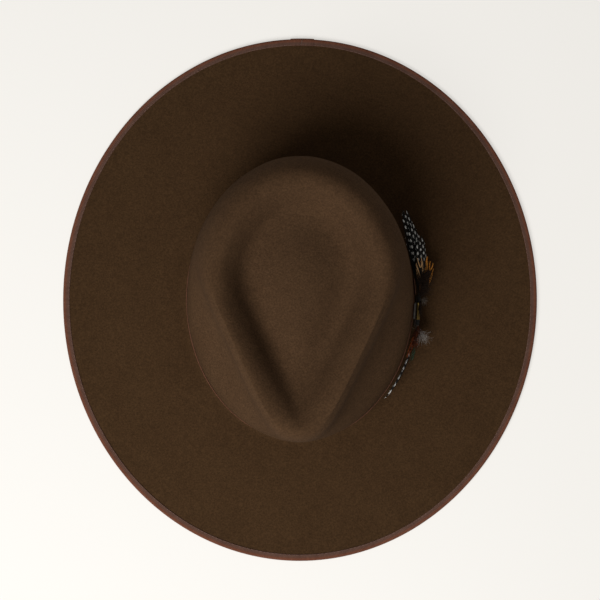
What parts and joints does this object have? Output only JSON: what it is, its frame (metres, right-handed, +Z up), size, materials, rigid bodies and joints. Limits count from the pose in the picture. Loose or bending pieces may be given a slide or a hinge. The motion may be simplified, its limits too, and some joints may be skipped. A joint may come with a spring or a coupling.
{
  "type": "fedora hat",
  "caption": "Wide-brimmed felt fedora with a teardrop crown, bound brim edge, ribbon band, leather sweatband and a clip-on feather ornament.",
  "frame": {"origin": "middle of the oval that the hat stands on, the flat underside of its brim binding", "axes": "+Z up, towards the crown; -Y the front of the hat, where the pinched nose of the crown is; +X the wearer's left, where the feathers are"},
  "size_m": [0.365, 0.402, 0.1115],
  "materials": {
    "felt": "matt wool felt, brown, with a short brushed nap",
    "binding_ribbon": "ribbed grosgrain ribbon, reddish brown, soft sheen",
    "band_ribbon": "ribbed grosgrain ribbon, reddish brown, soft sheen",
    "sweat_leather": "smooth fine-grained leather, brown",
    "lining_satin": "brown satin with a soft sheen",
    "thread": "twisted sewing thread, brown",
    "reed": "plain plastic reed",
    "backing_leather": "dark brown leather",
    "spring_steel": "bright spring steel",
    "brass": "aged brass, worn bright at the rims",
    "lashing": "waxed thread, nearly black",
    "guinea": "black feather with rows of white dots",
    "pheasant": "golden orange feather with dark bars",
    "hackle_dark": "dark brown downy hackle",
    "hackle_rust": "rust-red hackle with a dark middle",
    "green_feather": "dark green feather with a bright sheen",
    "down_white": "white and grey down",
    "down_grey": "grey down"
  },
  "bodies": {
    "hat": {"band_keeper": "band_ribbon", "binding_stitching": "thread", "brim_binding": "binding_ribbon", "felt_body": "felt", "hatband": "band_ribbon", "lining_side": "lining_satin", "lining_tip": "lining_satin", "sweatband": "sweat_leather", "sweatband_bow": "band_ribbon", "sweatband_reed": "reed", "sweatband_seam_tape": "sweat_leather", "sweatband_stitching": "thread", "sweatband_welt": "binding_ribbon"},
    "feather_ornament": {"guinea_feather_long": "guinea", "guinea_feather_middle": "guinea", "guinea_feather_short": "guinea", "guinea_feather_front": "guinea", "pheasant_feather_lower": "pheasant", "pheasant_feather_upper": "pheasant", "pheasant_feather_outer": "pheasant", "dark_hackle_back": "hackle_dark", "rust_hackle_long": "hackle_rust", "rust_hackle_short": "hackle_rust", "green_feather": "green_feather", "white_plume": "down_white", "grey_plume": "down_grey", "ornament_ferrule": "brass", "back_lashing": "lashing", "front_lashing": "lashing", "leather_backing": "backing_leather", "spring_clip": "spring_steel"}
  },
  "joints": [
    {"name": "ornament_lift", "type": "slide", "parent": "hat", "child": "feather_ornament", "axis": [0, 0, 1], "range_m": [0, 0.06]}
  ]
}
